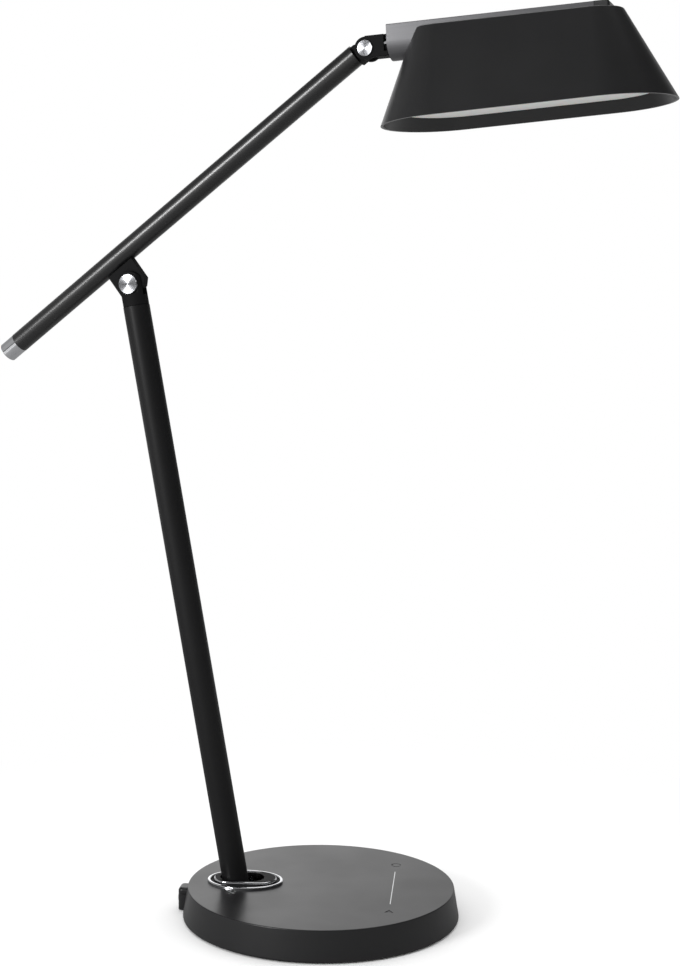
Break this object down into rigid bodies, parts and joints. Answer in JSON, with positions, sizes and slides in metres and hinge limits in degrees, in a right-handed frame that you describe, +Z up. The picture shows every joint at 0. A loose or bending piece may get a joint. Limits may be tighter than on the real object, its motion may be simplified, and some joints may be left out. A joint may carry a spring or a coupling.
{
  "type": "desk lamp",
  "caption": "Adjustable desk lamp: round weighted base, tilting tube arm, swivelling elbow fork, pivoting upper arm and an oblong shade that tilts and rolls, with a flat diffuser.",
  "frame": {"origin": "middle of the foot pad's underside, the face the lamp rests on", "axes": "+Z up, +X from the rear inlet to the touch controls, so the arm leans back towards -X and the shade reaches over +X; rest is the pictured pose"},
  "size_m": [0.4526, 0.2138, 0.5993],
  "materials": {
    "black_plastic": "fine satin",
    "black_metal": "satin black powder paint",
    "chrome": "turned and polished",
    "steel": "zinc plated",
    "ballast": "raw casting",
    "foot_rubber": "soft foam rubber",
    "light_guide": "translucent light guide",
    "circuit_board": "solder mask",
    "component": "moulded packages",
    "socket": "moulded socket",
    "nylon": "natural nylon",
    "lead_sheath": "soft cable sheath",
    "aluminium": "brushed, anodised grey",
    "opal": "opal diffuser",
    "led": "phosphor face"
  },
  "bodies": {
    "base": {"base_shell": "black_plastic", "base_plate": "steel", "base_weight": "ballast", "foot_pad": "foot_rubber", "base_screws": "steel", "weight_screws": "steel", "slot_trim": "chrome", "touch_marks": "light_guide", "touch_board": "circuit_board", "board_components": "component", "port_housing": "black_plastic", "dc_inlet": "socket", "tilt_yoke": "steel", "yoke_rivets": "steel", "tilt_pin": "steel", "tilt_nut": "steel", "tilt_washers": "nylon"},
    "lower_arm": {"lower_tube": "black_metal", "foot_knuckle": "black_metal", "swivel_bush": "nylon", "lower_lead": "lead_sheath"},
    "elbow": {"elbow_fork": "black_metal", "swivel_ring": "steel", "elbow_bolt": "chrome", "elbow_nut": "chrome", "elbow_washers": "nylon"},
    "upper_arm": {"upper_tube": "black_metal", "elbow_lug": "black_metal", "tail_cap": "chrome", "head_tongue": "black_metal", "upper_lead": "lead_sheath"},
    "knuckle": {"head_knuckle": "black_metal", "head_bolt": "chrome", "head_nut": "chrome", "head_washers": "nylon", "roll_shaft": "steel", "roll_ring": "steel"},
    "head": {"spine": "aluminium", "spine_plug": "nylon", "stop_pin": "chrome", "spine_end_cap": "black_plastic", "shade": "black_plastic", "led_tray": "aluminium", "led_board": "circuit_board", "leds": "led", "diffuser": "opal", "tray_screws": "steel"}
  },
  "joints": [
    {"name": "tilt", "type": "hinge", "parent": "base", "child": "lower_arm", "pos_m": [-0.0577, 0, 0.0106], "axis": [0, 1, 0], "range_deg": [-2, 38]},
    {"name": "swivel", "type": "hinge", "parent": "lower_arm", "child": "elbow", "pos_m": [-0.13187, 0, 0.43126], "axis": [-0.1736, 0, 0.9848], "range_deg": [-77, 103]},
    {"name": "elbow_hinge", "type": "hinge", "parent": "elbow", "child": "upper_arm", "pos_m": [-0.13187, 0, 0.43126], "axis": [0.2215, 0.9744, 0.0391], "range_deg": [-58, 67]},
    {"name": "head_tilt", "type": "hinge", "parent": "upper_arm", "child": "knuckle", "pos_m": [0.03042, -0.0428, 0.57855], "axis": [0.2215, 0.9744, 0.0391], "range_deg": [-55, 45]},
    {"name": "head_roll", "type": "hinge", "parent": "knuckle", "child": "head", "pos_m": [0.03042, -0.0428, 0.57855], "axis": [0.9732, -0.2235, 0.0551], "range_deg": [-28, 31]}
  ]
}
